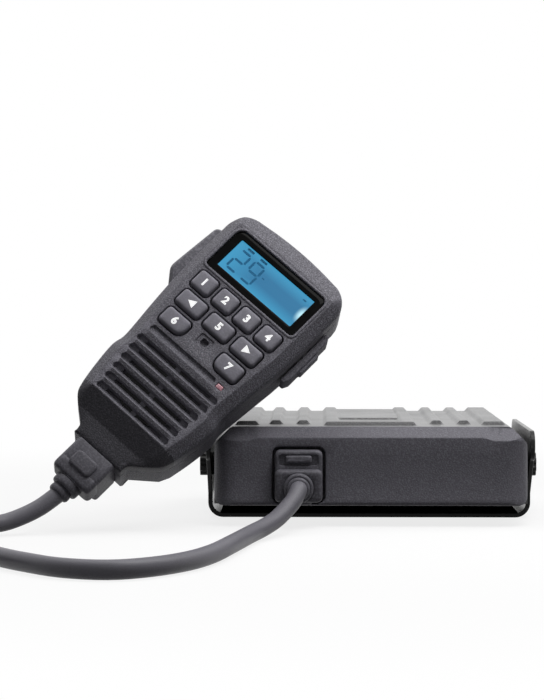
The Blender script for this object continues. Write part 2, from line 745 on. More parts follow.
def ranged(tree, value, low, high, to_low=0.0, to_high=1.0, kind="LINEAR"):
    """A value spread from low and high to two other ends, and held there."""
    inputs = [("Value", value), ("From Min", low), ("From Max", high)]
    inputs += [("To Min", to_low), ("To Max", to_high)]
    return add(tree, "ShaderNodeMapRange", inputs, interpolation_type=kind).outputs[0]


def length_of(tree, vector):
    """Length of a vector."""
    return add(tree, "ShaderNodeVectorMath", [(0, vector)], operation="LENGTH").outputs["Value"]


def mixed(tree, factor, a, b):
    """Colour a mixed towards b by a factor; each is a colour or a socket."""
    node = add(tree, "ShaderNodeMix", [(MIX_FACTOR, factor), (MIX_A, a), (MIX_B, b)], data_type="RGBA")
    return node.outputs[MIX_RESULT]


def seen_directly(tree):
    """1 for rays from the camera, in reflections and through glass, and 0 for light that bounces."""
    rays = add(tree, "ShaderNodeLightPath").outputs
    seen = maths(tree, "MAXIMUM", rays["Is Camera Ray"], rays["Is Glossy Ray"])
    return maths(tree, "MAXIMUM", seen, rays["Is Transmission Ray"])


def grain_group():
    """Moulded grain: rounded pits from cell distance, broken up by noise, with a mask of bright specks."""
    inputs = [("Vector", "NodeSocketVector", None), ("Density", "NodeSocketFloat", GRAIN_SCALE)]
    tree, given, out = new_group("Moulded grain", inputs, ["Height", "Speck"])
    place = [("Vector", given["Vector"]), ("Scale", given["Density"])]
    cells = add(tree, "ShaderNodeTexVoronoi", place, feature="SMOOTH_F1").outputs["Distance"]
    noise = add(tree, "ShaderNodeTexNoise", [*place, ("Detail", 2.0)]).outputs["Fac"]
    tree.links.new(maths(tree, "ADD", cells, noise), out.inputs["Height"])
    tree.links.new(ranged(tree, noise, *SPECK_RANGE), out.inputs["Speck"])
    return tree


def drift_group():
    """Slow drift of tone from large soft noise, spread to 0..1."""
    inputs = [("Vector", "NodeSocketVector", None), ("Density", "NodeSocketFloat", DRIFT_SCALE)]
    tree, given, out = new_group("Slow drift", inputs, ["Tone"])
    place = [("Vector", given["Vector"]), ("Scale", given["Density"])]
    noise = add(tree, "ShaderNodeTexNoise", [*place, ("Detail", 4.0)]).outputs["Fac"]
    tree.links.new(ranged(tree, noise, *DRIFT_RANGE), out.inputs["Tone"])
    return tree


def rubbed_group():
    """Mask of rubbed edges: where the surface bends outwards, broken up by fine noise."""
    tree, given, out = new_group("Rubbed edges", [("Vector", "NodeSocketVector", None)], ["Mask"])
    bend = add(tree, "ShaderNodeNewGeometry").outputs["Pointiness"]
    place = [("Vector", given["Vector"]), ("Scale", RUB_SCALE), ("Detail", 3.0)]
    noise = add(tree, "ShaderNodeTexNoise", place).outputs["Fac"]
    tree.links.new(maths(tree, "MULTIPLY", ranged(tree, bend, *RUB_RANGE), noise), out.inputs["Mask"])
    return tree


# Finishes
def base_material(name):
    """A material with only a shader and an output; returns it with its tree and its shader."""
    mat = bpy.data.materials.new(name)
    tree = blank_tree(mat)
    shader = tree.nodes.new("ShaderNodeBsdfPrincipled")
    add(tree, "ShaderNodeOutputMaterial", [("Surface", shader.outputs[0])])
    return mat, tree, shader


def grey(v, cool=0.0):
    """A near neutral colour; cool leans to violet blue."""
    return (v, v * (1 - 0.25 * cool), v * (1 + cool), 1.0)


def greys(*tones):
    """Neutral colours."""
    return [grey(v) for v in tones]


def cool_greys(tone, *shares):
    """Colours at shares of one tone, all leaning to violet blue."""
    return [grey(tone * share, COOL) for share in shares]


def grained(name, tones, rough, density, depth, groups, edge=None, metallic=0.0, spread=0.06, specular=0.5,
            sheen=0.0, glow=0.0):
    """Finish of two tones drifting into each other, a third for the specks of its grain, rubbed edges, a
    roughness with its spread, and a bump from a grain of so many pits a metre and a depth in mm."""
    mat, tree, shader = base_material(name)
    coords = tree.nodes.new("ShaderNodeTexCoord").outputs["Object"]
    grain = add(tree, "ShaderNodeGroup", node_tree=groups["grain"])
    slow = add(tree, "ShaderNodeGroup", node_tree=groups["drift"])
    for node, scale in ((grain, density), (slow, DRIFT_SCALE)):
        tree.links.new(coords, node.inputs["Vector"])
        node.inputs["Density"].default_value = scale
    colour = mixed(tree, slow.outputs["Tone"], tones[0], tones[1])
    colour = mixed(tree, grain.outputs["Speck"], colour, tones[2])
    if edge is not None:
        rub = add(tree, "ShaderNodeGroup", node_tree=groups["rubbed"])
        tree.links.new(coords, rub.inputs["Vector"])
        colour = mixed(tree, rub.outputs["Mask"], colour, edge)
    tree.links.new(colour, shader.inputs["Base Color"])
    varied = ranged(tree, slow.outputs["Tone"], 0.0, 1.0, rough - spread, rough + spread)
    tree.links.new(varied, shader.inputs["Roughness"])
    pits = [("Height", grain.outputs["Height"]), ("Strength", 1.0), ("Distance", depth * MM)]
    tree.links.new(add(tree, "ShaderNodeBump", pits).outputs["Normal"], shader.inputs["Normal"])
    shader.inputs["Metallic"].default_value = metallic
    shader.inputs["Specular IOR Level"].default_value = specular
    shader.inputs["Sheen Weight"].default_value = sheen
    if glow:
        tree.links.new(colour, shader.inputs["Emission Color"])
        shader.inputs["Emission Strength"].default_value = glow
    return mat


def lcd_finish():
    """Backlit glass: blue, paler towards its long edges and its left end, and a lamp's glow."""
    mat, tree, shader = base_material("lcd")
    uv = tree.nodes.new("ShaderNodeTexCoord").outputs["UV"]
    across, up, _ = add(tree, "ShaderNodeSeparateXYZ", [("Vector", uv)]).outputs
    off = maths(tree, "ABSOLUTE", maths(tree, "SUBTRACT", up, 0.5))
    pale = maths(tree, "MAXIMUM", ranged(tree, off, *PALE_OFF_MIDDLE), ranged(tree, across, *PALE_AT_LEFT))
    blue = mixed(tree, pale, LCD_DEEP, LCD_PALE)
    lamp = add(tree, "ShaderNodeMapping", [("Vector", uv), ("Location", LAMP_SHIFT), ("Scale", LAMP_SCALE)])
    glow = ranged(tree, length_of(tree, lamp.outputs[0]), LAMP_REACH, 0.0, kind="SMOOTHSTEP")
    tree.links.new(mixed(tree, glow, blue, LCD_LAMP), shader.inputs["Emission Color"])
    shader.inputs["Emission Strength"].default_value = 1.0
    shader.inputs["Base Color"].default_value = LCD_BASE
    shader.inputs["Roughness"].default_value = 0.25
    shader.inputs["Specular IOR Level"].default_value = 0.1
    return mat


def handset_finishes(finish, looks):
    """The handset's mouldings, from its shell's tone and its keys' tone."""
    shell, key = looks.shell_tone, looks.key_tone
    finish("handset_plastic", cool_greys(shell, 0.8, 1, 1.9), 0.46, 2300, 0.14,
           edge=grey(shell * 2.6, COOL), specular=0.12)
    finish("recess", cool_greys(shell, 1.6, 1.8, 2.2), 0.5, 2200, 0.08, specular=0.12)
    finish("chin", cool_greys(shell, 0.28, 0.4, 0.7), 0.46, 2300, 0.1,
           edge=grey(shell * 1.6, COOL), specular=0.1)
    finish("keys", cool_greys(key, 1, 1.1, 1.2), 0.5, 1500, 0.03, edge=grey(key * 1.6, COOL), specular=0.15)
    finish("soft_touch", cool_greys(shell, 0.8, 1, 1.5), 0.5, 1300, 0.1,
           edge=grey(shell * 2, COOL), specular=0.15)
    finish("legend", greys(0.8, 0.88, 0.9), 0.5, 1500, 0.004, glow=0.45)
    finish("lens", greys(0.002, 0.003, 0.004), 0.08, 300, 0.001, spread=0.02, specular=0.04)
    finish("digit", ((0.03, 0.15, 0.3, 1), (0.035, 0.17, 0.33, 1), (0.04, 0.18, 0.35, 1)), 0.5, 900, 0.002,
           specular=0.0)
    finish("light_guide", ((0.7, 0.8, 0.85, 1), (0.8, 0.88, 0.9, 1), (0.9, 0.95, 1, 1)), 0.3, 900, 0.01)
    finish("light_pipe", ((0.5, 0.2, 0.25, 1), (0.58, 0.27, 0.32, 1), (0.7, 0.45, 0.48, 1)), 0.3, 900, 0.01)
    finish("magnet", greys(0.04, 0.06, 0.12), 0.4, 900, 0.02, metallic=0.8)
    finish("cloth", greys(0.006, 0.01, 0.03), 0.9, 3200, 0.06, sheen=0.3)
    FINISH["lcd"] = lcd_finish()


def radio_finishes(finish, looks):
    """The case's panel and cover, from their tones, and the metal and rubber round it."""
    panel, cover = looks.panel_tone, looks.cover_tone
    finish("case_plastic", cool_greys(panel, 0.85, 1, 1.4), 0.48, 2200, 0.07,
           edge=grey(panel * 2.4, COOL), specular=0.15)
    finish("cover_metal", (grey(cover, COVER_COOL), grey(cover * 1.2, COVER_COOL), grey(cover * 1.8)),
           0.36, 2200, 0.02, edge=grey(cover * 2.5))
    finish("chassis_metal", greys(0.02, 0.028, 0.06), 0.45, 1800, 0.02, edge=grey(0.2))
    finish("bracket_steel", greys(0.012, 0.016, 0.02), 0.2, 900, 0.002,
           edge=grey(0.1), spread=0.03, specular=0.1)
    finish("seat", greys(0.008, 0.011, 0.014), 0.8, 1400, 0.02, specular=0.0)
    finish("thumbscrew_steel", greys(0.006, 0.008, 0.015), 0.4, 1200, 0.01, edge=grey(0.08), specular=0.15)
    finish("washer_rubber", greys(0.012, 0.016, 0.03), 0.75, 2600, 0.02)
    finish("black_parts", greys(0.01, 0.014, 0.03), 0.45, 1800, 0.015)
    finish("tinplate", greys(0.4, 0.48, 0.55), 0.33, 500, 0.003, metallic=1.0)
    finish("nickel", greys(0.36, 0.42, 0.46), 0.3, 300, 0.002, metallic=1.0, spread=0.05)
    finish("circuit_board", ((0.02, 0.09, 0.035, 1), (0.03, 0.12, 0.05, 1), (0.25, 0.3, 0.12, 1)),
           0.4, 500, 0.02)
    finish("insulator", ((0.72, 0.7, 0.62, 1), (0.8, 0.78, 0.71, 1), (0.85, 0.84, 0.8, 1)), 0.5, 1500, 0.01)
    finish("contact", ((0.72, 0.45, 0.13, 1), (0.85, 0.56, 0.2, 1), (0.9, 0.65, 0.3, 1)), 0.28, 600, 0.005,
           metallic=1.0)


def cord_finishes(finish, looks):
    """The cord's jacket, its plugs' mouldings and the clear plugs inside, from the cord's tone."""
    cord = looks.cord_tone
    finish("cord_jacket", cool_greys(cord, 1, 1.15, 1.2), 0.44, 2400, 0.012, specular=0.3)
    finish("plug_moulding", cool_greys(cord, 0.6, 0.75, 1.1), 0.5, 1500, 0.04,
           edge=grey(cord * 1.8, COOL), specular=0.15)
    finish("modular_plastic", ((0.55, 0.58, 0.6, 1), (0.65, 0.68, 0.7, 1), (0.8, 0.8, 0.8, 1)),
           0.25, 700, 0.005)


def make_finishes(handset, case):
    """All the finishes: one for each slot, and those of louvres, chin, seat, legends and digits."""
    groups = {"grain": grain_group(), "drift": drift_group(), "rubbed": rubbed_group()}

    def finish(name, *values, **more):
        FINISH[name] = grained(name, *values, groups=groups, **more)

    handset_finishes(finish, handset)
    radio_finishes(finish, case)
    cord_finishes(finish, handset)


# Handset
def handset_outline():
    """Closed outline (x, z), clockwise from the top's middle: low arch, corner arc, drawn side line, neck and
    back up the left, with two close points at each end of the talk bar's pocket."""
    x = np.linspace(0, ARCH_HALF, 9)
    inner = HANDSET_HALF - HANDSET_CORNER
    top = np.stack([x, HANDSET_TOP - HANDSET_CROWN * (x / inner) ** 2], 1)
    a = np.radians(np.linspace(CORNER_FROM, CORNER_TO, 14))
    middle = (inner, HANDSET_TOP - HANDSET_CROWN - HANDSET_CORNER)
    corner = np.stack([middle[0] + HANDSET_CORNER * np.cos(a), middle[1] + HANDSET_CORNER * np.sin(a)], 1)
    right = np.vstack([top, corner, smooth_curve(SIDE_CURVE, SIDE_STEPS)])
    neck_half = SIDE_CURVE[-1][0]
    foot = np.stack([np.linspace(neck_half, -neck_half, 9)[1:-1], np.full(7, NECK_END)], 1)
    left = right[::-1] * (-1, 1)
    pocket = np.add.outer(POCKET, (-POCKET_EDGE, POCKET_EDGE)).ravel()
    z = np.sort(np.concatenate([left[:-1, 1], pocket]))
    left = np.stack([np.interp(z, left[:, 1], left[:, 0]), z], 1)
    return np.vstack([right, foot, left])


def face_depth(x, z, outline):
    """Depth of the face: a bevel with a soft crease, a broad facet at the top and a chin at the neck."""
    lift = FACET_LIFT * soft_step((outline[:, 1] - FACET_FROM) / FACET_RUN)
    raised = outline + np.stack([np.zeros(len(outline)), lift], 1)
    bevel = ease(FACE_BEVEL - edge_distance(np.stack([x, z], 1), raised), CREASE)
    facet = FACET_RISE * ease(z - FACET_LOW + HANDSET_CROWN * (x / HANDSET_HALF) ** 2, CREASE)
    t = (CHIN_TOP - z) / CHIN_RUN
    chin = CHIN_DEPTH * (ease(t, CHIN_ROUND) - ease(t - 1, CHIN_ROUND))
    return soft_largest(bevel, facet, chin)


def face_lines(outline, normal):
    """Loops that the face's fill follows at its bends: along the bevel, the chin and the facet."""
    lines = [outline - inset * normal for inset in BEVEL_INSETS]
    side = smooth_curve(SIDE_CURVE, SIDE_STEPS)
    for z in runs(CHIN_LEVELS):
        half = np.interp(-z, -side[:, 1], side[:, 0]) - FACE_BEVEL - CHIN_CLEAR
        lines.append(line_loop(np.linspace(-half, half, 9), z))
    x = np.linspace(-FACET_HALF, FACET_HALF, 19)
    arch = HANDSET_CROWN * (x / HANDSET_HALF) ** 2
    lines += [line_loop(x, FACET_LOW + lift - arch) for lift in FACET_LIFTS]
    return lines


def key_outline(key, grow):
    """Outline of a key, with the rounder one of its lower corners if it has one."""
    left = KEY_INNER_R if key.rounder < 0 else KEY_R
    right = KEY_INNER_R if key.rounder > 0 else KEY_R
    return round_rect(key.width, key.height, (KEY_R, KEY_R, left, right), grow, least=KEY_LEAST_R)


def well(rows):
    """Skin from a hole's edge on the face down to its floor, and that edge as a flat loop."""
    return carried(rows, cap_last=True), rows[0][:, (0, 2)]


def microphone_rows():
    """Rows of the microphone's hole: a shallow rounded rectangle, then a round bore on the same spokes."""
    dish = partial(round_rect, MIC_W, MIC_H, MIC_CORNER)
    spoke = unit(dish())
    bore = [at_depth(spoke * (MIC_R + grow), depth, (0, MIC_Z)) for grow, depth in MIC_BORE_LINE]
    return stepped(dish, MIC_WELL, (0, MIC_Z)) + bore


def louvre(z, low_x, high_x, open_to, web):
    """One groove and its border: a section from a fine lower lip to its upper edge, carried across the face
    between round ends; slots open it on both sides, from the web out to open_to."""
    rise, blind = np.array(LOUVRE_SECTION).T
    blind = blind * (1 if open_to else BLIND_SHARE)
    deep = np.where((rise > SLOT_FROM) & (rise < SLOT_TO), SLOT_THROUGH, blind)
    away, share = np.array(LOUVRE_END).T
    ends = np.append(away, LOUVRE_TUCK)
    stops = np.add.outer((-open_to, -web, web, open_to), (-SLOT_EDGE, SLOT_EDGE)).ravel()
    x = np.concatenate([low_x + ends, stops if open_to else [], high_x - ends[::-1]])
    opened = (np.abs(x) < open_to) & (np.abs(x) > web)
    edge = np.minimum(x - low_x, high_x - x)
    depth = np.where(opened[:, None], deep, blind)
    depth = depth * np.where(depth > 0, np.interp(edge, away, share)[:, None], 1)
    depth = depth * (edge > 0)[:, None]
    arc = LOUVRE_HALF - np.sqrt(LOUVRE_HALF ** 2 - (LOUVRE_ROUND * rise) ** 2)
    tuck = arc * np.interp(edge, (away[-1], LOUVRE_TUCK), (1, 0))[:, None]
    across = x[:, None] + tuck * np.where(x - low_x < high_x - x, 1, -1)[:, None]
    rows = np.stack([across, depth, np.broadcast_to(z + rise, depth.shape)], -1)
    border = np.vstack([rows[:, 0], rows[-1, 1:], rows[-2::-1, -1], rows[0, -2:0:-1]])
    faces = grid_faces(*depth.shape, closed=False).tolist()
    return (rows.reshape(-1, 3), faces), border[:, (0, 2)]


def face_openings():
    """Skin and border of all that opens the face: window, key wells, microphone, light and louvres."""
    window = partial(round_rect, WINDOW_W, WINDOW_H, WINDOW_R, steps=8)
    light = partial(round_rect, LIGHT_W, LIGHT_H, LIGHT_R)
    made = [well(stepped(window, WINDOW_LIP, (0, WINDOW_Z)))]
    made += [well(stepped(partial(key_outline, key), KEY_WELL, (key.x, key.z))) for key in KEYS]
    made.append(well(microphone_rows()))
    made.append(well(stepped(light, LIGHT_WELL, (LIGHT_X, LIGHT_Z))))
    made.append(louvre(LIGHT_Z, *BLIND_LOUVRE, 0, 0))
    for i in range(SLOT_COUNT):
        half = SLOT_HALF - SLOT_TAPER * i
        made.append(louvre(SLOT_Z - SLOT_PITCH * i, -half, half, half - SLOT_BLIND, SLOT_WEB))
    return made


def skirt(outline, normal, edge):
    """Skin from the face's edge over the shoulder and down to the seam, sunk at the talk bar's pocket."""
    pocket = (outline[:, 0] < 0) & (outline[:, 1] > POCKET[0]) & (outline[:, 1] < POCKET[1])
    rows = []
    for inset, share in SHOULDER_ROWS:
        rows.append(at_depth(outline - inset * normal, edge + (SKIRT_TOP - edge) * share))
    for inset, depth, sunk in SKIRT_ROWS:
        inward = inset + POCKET_DEEP * sunk * pocket
        rows.append(at_depth(outline - inward[:, None] * normal, depth))
    return carried(rows, cap_last=True)


def front_shell():
    """Front shell: bevelled face with its window, key wells, microphone, light and louvres, and a skirt."""
    outline = handset_outline()
    normal = outward(outline)
    ring = outline - SHOULDER * normal
    skins, borders = zip(*face_openings())
    flat, faces = fill_face(ring, face_lines(outline, normal), borders)
    face = (at_depth(flat, face_depth(*flat.T, outline)), faces.tolist())
    side = skirt(outline, normal, face_depth(*ring.T, outline))
    return [placed(part, on_handset) for part in (*skins, face, side)]


def handset_solid(outline, line, centre=(0, 0)):
    """Closed piece of the handset: an outline carried along a line's pairs of grow and depth."""
    return [placed(capped(stepped(outline, line, centre)), on_handset)]


def raised_flat(outlines, depth, height):
    """Closed flat figures (x, z) with a thickness, standing proud of a depth."""
    rows = [[at_depth(loop, depth), at_depth(loop, depth - height)] for loop in outlines]
    return [placed(capped(pair), on_handset) for pair in rows]


def lettering(text, size, x, z):
    """A numeral from Blender's own plain face as a mesh, centred at a place on the handset's face."""
    curve = bpy.data.curves.new("numeral", "FONT")
    curve.body = text
    curve.size = size
    curve.align_x = "CENTER"
    curve.align_y = "CENTER"
    curve.extrude = LEGEND_HEIGHT / 2
    curve.offset = NUMERAL_WEIGHT * size
    curve.resolution_u = 4
    holder = link("numeral", curve)
    bpy.context.view_layer.update()
    mesh = bpy.data.meshes.new_from_object(holder.evaluated_get(bpy.context.evaluated_depsgraph_get()))
    points = read(mesh.vertices, "co")
    faces = [list(polygon.vertices) for polygon in mesh.polygons]
    bpy.data.objects.remove(holder)
    bpy.data.curves.remove(curve)
    bpy.data.meshes.remove(mesh)
    flat = points - (points.min(0) + points.max(0)) / 2
    return on_handset(np.stack([flat[:, 0] + x, NUMERAL_DEPTH - flat[:, 2], flat[:, 1] + z], 1)), faces


def arrow(sign, x, z):
    """Triangle pointing left or right."""
    tip, back = x + sign * ARROW_SIZE, x - sign * ARROW_SIZE * ARROW_BACK
    return np.array(((tip, z), (back, z + ARROW_SIZE), (back, z - ARROW_SIZE)))


def segment_figure(figure, x):
    """Bars of a seven-bar numeral, slim hexagons lettered clockwise from the top, g in the middle."""
    w, h, t = FIGURE_HALF_W, FIGURE_HALF_H, BAR_HALF
    lit = {"2": "abged", "9": "abcdfg"}[figure]
    at = {"a": (0, h, 0), "d": (0, -h, 0), "g": (0, 0, 0), "b": (w, h / 2, 1), "c": (w, -h / 2, 1),
          "f": (-w, h / 2, 1), "e": (-w, -h / 2, 1)}
    bars = []
    for letter in lit:
        bar_x, bar_z, upright = at[letter]
        run = (h / 2 if upright else w) - BAR_GAP
        bar = np.array(((-run, 0), (-run + t, t), (run - t, t), (run, 0), (run - t, -t), (-run + t, -t)))
        bar = bar[:, ::-1] if upright else bar
        bars.append(bar + (x + bar_x, FIGURE_Z + bar_z))
    return bars


# Radio
def slope_line(x):
    """Height where the panel's top slope starts; it drops a little outside the creases near both ends."""
    return CASE_TOP - SLOPE_H - CREASE_DROP * soft_step((np.abs(x) - CREASE_FROM) / (CREASE_TO - CREASE_FROM))


def roll(s, r):
    """Depth of a quarter round of radius r at a distance s past its start."""
    return r - np.sqrt(r * r - np.clip(s, 0, r) ** 2)


def panel_depth(x, z):
    """Depth of the panel behind its front plane: a face that leans back most at its foot, round ends, a slope
    along the top and a rolled foot."""
    ends = roll(np.abs(x) - CASE_HALF + CORNER_ROLL, CORNER_ROLL)
    slope = ease(z - slope_line(x), SLOPE_ROUND) * SLOPE_D / SLOPE_H
    foot = roll(CASE_LOW + FOOT_ROLL - z, FOOT_ROLL)
    up = np.clip((z - CASE_LOW - FOOT_ROLL) / (CASE_TOP - SLOPE_H - CASE_LOW - FOOT_ROLL), 0, 1)
    lean = PANEL_LEAN * (1 - (1 - up) ** 3)
    return np.minimum(lean + soft_largest(ends, slope, foot), CASE_SEAM - CASE_FRONT - PANEL_BACK_GAP)


def on_panel(loop, sink=0.0):
    """Flat points (x, z) on the panel's face, or sunk behind it."""
    return at_depth(loop, CASE_FRONT + (panel_depth(*loop.T) + sink))


def panel_outline():
    """Outline of the panel: chamfered upper corners, rounder lower ones, with points along its sides."""
    w, c = CASE_HALF, CASE_CHAMFER
    corners = ((0, CASE_TOP), (w - c, CASE_TOP), (w, CASE_TOP - c), (w, CASE_LOW), (-w, CASE_LOW),
               (-w, CASE_TOP - c), (c - w, CASE_TOP))
    radii = np.full(len(corners), PANEL_EDGE)
    radii[3:5] = FOOT_CORNER
    return resample(round_polygon(corners, radii), PANEL_EDGE)


def panel_lines():
    """Loops that the panel's fill follows where it bends: up its round ends, along the slope and the foot."""
    lines = []
    for degrees in END_ANGLES:
        x = CASE_HALF - CORNER_ROLL + CORNER_ROLL * math.sin(math.radians(degrees))
        low = CASE_LOW + END_CLEAR + max(0, x - CASE_HALF + FOOT_CORNER) * FOOT_DRAW
        high = CASE_TOP - max(0, x - CASE_HALF + CASE_CHAMFER) - END_CLEAR
        lines += [line_loop(side * x, np.linspace(low, high, 16)) for side in (-1, 1)]
    x = runs(SLOPE_RUNS)
    lines += [line_loop(x, slope_line(x) + lift) for lift in SLOPE_LIFTS]
    lines += [line_loop(np.linspace(*FOOT_RUN), CASE_LOW + lift) for lift in FOOT_LIFTS]
    return lines


def recess(grow):
    """Outline of the plug's recess in the panel."""
    return round_rect(RECESS_W, RECESS_H, RECESS_R, grow, steps=8) + (RECESS_X, RECESS_Z)


def front_panel():
    """Front panel: its face filled between the outline, the lines where it bends and the plug's recess."""
    outline = panel_outline()
    normal = outward(outline)
    clear = recess(RECESS_CLEAR)
    lines = sorted(panel_lines(), key=lambda line: inside(line, clear).any())
    lines = [line[~inside(line, clear)] for line in lines]
    flat, faces = fill_face(outline - PANEL_EDGE_INSETS[0] * normal, lines, [recess(RECESS_RIM)])
    well_rows = [on_panel(recess(grow), sink) for grow, sink in RECESS_LIP]
    well_rows.append(at_depth(recess(0), CASE_FRONT + RECESS_DEEP))
    side_rows = [on_panel(outline - inset * normal) for inset in PANEL_EDGE_INSETS]
    side_rows.append(at_depth(outline, CASE_SEAM))
    face = (on_panel(flat), faces.tolist())
    return [face, carried(well_rows, cap_last=True), carried(side_rows, cap_last=True)]


def within(distance, half, flank):
    """1 inside half a width and 0 outside it, with a soft step over a flank between."""
    return soft_step((half + flank / 2 - distance) / flank)


def cover_height(x, y):
    """Height of the ribs, the frame's bar and the pad over the cover's flat, the highest where they meet."""
    high = PAD_H * within(np.abs(x), PAD_HALF, PAD_FLANK) * soft_step((y - PAD_FRONT) / PAD_FRONT_RUN)
    bar = within(np.abs(x), FRAME_HALF, FRAME_FLANK) * soft_step((y - FRAME_FRONT) / RIB_FRONT_RUN)
    high = np.maximum(high, RIB_H * bar * within(y, FRAME_BACK, FRAME_FLANK))
    for middle, wide, front in RIBS:
        across = within(np.abs(np.abs(x) - middle), wide / 2, RIB_FLANK)
        high = np.maximum(high, RIB_H * across * soft_step((y - front) / RIB_FRONT_RUN))
    return high


def top_cover():
    """Cover: its cross-section carried from the seam to the rear, with the ribs raised on top."""
    w, top, c, t = CASE_HALF, CASE_TOP, CASE_CHAMFER, CASE_WALL
    left = np.vstack([((-w, CASE_SPLIT), (-w, COVER_SIDE_Z)), np.array((-w, top - c)) + LOWER_BEND,
                      np.array((c - w, top)) + UPPER_BEND])
    x = np.linspace(c - w + COVER_FLAT_INSET, w - c - COVER_FLAT_INSET, COVER_COLUMNS)
    outer = np.vstack([left, np.stack([x, np.full(COVER_COLUMNS, top)], 1), left[::-1] * (-1, 1)])
    inset = c + COVER_INNER_INSET
    half = np.array(((w - t, CASE_SPLIT), (w - t, top - inset), (w - inset, top - t)))
    inner = np.vstack([half, half[::-1] * (-1, 1)])
    section = np.vstack([outer, inner])
    raised = np.concatenate([outer[:, 1] >= top - RIB_LEVEL, np.zeros(len(inner), bool)])
    y = runs(COVER_RUNS)[:, None]
    rows = np.empty((len(y), len(section), 3))
    rows[..., 0] = section[:, 0]
    rows[..., 1] = y
    rows[..., 2] = section[:, 1] + raised * cover_height(section[None, :, 0], y)
    return [capped(rows)]


# Plugs
def oblong(height, middle, grow):
    """The plug's section (across, up) at one height, stretched outwards by grow."""
    loop = resample(round_rect(PLUG_W, height, PLUG_R), PLUG_SPACING)
    return loop * (1 + 2 * grow / np.array((PLUG_W, height))) + (0, middle)


def release_slot(grow):
    """Outline of the slot round the release bar."""
    return round_rect(RELEASE_W, RELEASE_H, RELEASE_R, grow) + (0, RELEASE_AT)


def along(loops):
    """Rows of flat loops (across, up), each at its place along the plug's axis."""
    return [np.column_stack([loop, np.full(len(loop), at)]) for loop, at in loops]


def plug_shelf():
    """The plug's taller part: its section carried to a flat end, which is filled round the release slot."""
    rows = along((oblong(PLUG_H, PLUG_MID, grow), at) for grow, at in SHELF_LINE)
    flat, faces = fill_face(rows[-1][:, :2], [], [release_slot(RELEASE_RIM)])
    end = (np.column_stack([flat, np.full(len(flat), PLUG_SHELF)]), faces.tolist())
    slot = along((release_slot(grow), PLUG_SHELF - sink) for grow, sink in RELEASE_WELL)
    return [carried(rows, cap_first=True), end, carried(slot, cap_last=True)]


def plug_block():
    """The plug's longer block, whose section turns into circles for the two rings on the cord's side."""
    low, middle = PLUG_H - PLUG_STEP, PLUG_MID - PLUG_STEP / 2
    loops = [(oblong(low, middle, grow), at) for grow, at in BLOCK_LINE]
    spoke = unit(oblong(low, 0, 0))
    loops += [(spoke * radius, PLUG_BLOCK + past) for radius, past in PLUG_RINGS]
    return capped(along(loops))


def thumb_pad():
    """Rounded pad that stands out of the plug's lower face."""
    face = PLUG_MID - PLUG_H / 2
    outline = partial(round_rect, *THUMB_PAD)
    return capped([at_depth(outline(grow), face - out, (0, PLUG_SHELF - THUMB_PAD_BACK))
                   for grow, out in THUMB_PAD_LINE])


def release_bar():
    """Rounded bar in the release slot."""
    outline = partial(round_rect, *RELEASE_BAR, steps=5, least=RELEASE_BAR_LEAST_R)
    up = RELEASE_AT + RELEASE_BAR_LIFT
    return capped(along((outline(grow) + (0, up), PLUG_SHELF - sink) for grow, sink in RELEASE_BAR_LINE))


def plug_shapes(place):
    """Plug along its own axis: shelf with a release slot, block with two rings, thumb pad and release bar."""
    parts = (*plug_shelf(), plug_block(), thumb_pad(), release_bar())
    return [placed(part, place) for part in parts]


def at_radio_plug(points):
    """Plug's own frame to the radio: its axis forwards, its release bar up."""
    across, up, out = points.T
    return np.stack([across + RECESS_X, CASE_FRONT + RECESS_DEEP - out, up + RADIO_EXIT[2]], 1)


def at_handset_plug(points):
    """Plug's own frame to the handset: its axis down the neck, its thumb pad to the front."""
    across, up, out = points.T
    return on_handset(np.stack([across, up + PLUG_BACK, NECK_END - out], 1))


# Cord
def coil_points():
    """Spiral in on the lower layer, a climb where it reverses, and out on the upper layer."""
    u = np.arange(-1, math.floor(COIL_STEPS * COIL_TURNS + 1) + 1) / COIL_STEPS
    v = np.clip(u, 0, COIL_TURNS)
    a = np.radians(COIL_START + 360 * v)
    r = COIL_R - COIL_PITCH * (COIL_TURNS / 2 - np.abs(v - COIL_TURNS / 2))
    climb = np.clip((v - COIL_TURNS / 2 + COIL_CLIMB / 2) / COIL_CLIMB, 0, 1)
    over = (u - v) * COIL_STEPS * 2 * CORD_R
    return np.stack([COIL_X + r * np.cos(a) - over * np.sin(a), COIL_Y + r * np.sin(a) + over * np.cos(a),
                     CORD_LIFT + COIL_PITCH * (0.5 - 0.5 * np.cos(np.pi * climb))], 1)


def cord_path():
    """From the radio's plug down to the floor, into the coil, out of it and up into the handset's plug."""
    coil = coil_points()
    before = coil[0] - 2 * CORD_R * unit(coil[1] - coil[0])
    after = coil[-1] + 2 * CORD_R * unit(coil[-1] - coil[-2])
    out = on_handset([(0, PLUG_BACK, HANDSET_EXIT), (0, PLUG_BACK, HANDSET_EXIT + CORD_TUCK)])
    to_coil = smooth_curve([RADIO_EXIT - (0, CORD_R, 0), *TO_COIL, before], 4)
    from_coil = smooth_curve([after, *FROM_COIL, out[0]], 5)
    inside_plug = RADIO_EXIT + (0, CORD_TUCK, 0)
    return np.vstack([inside_plug, RADIO_EXIT, to_coil, smooth_curve(coil, 2), from_coil, out[1]])


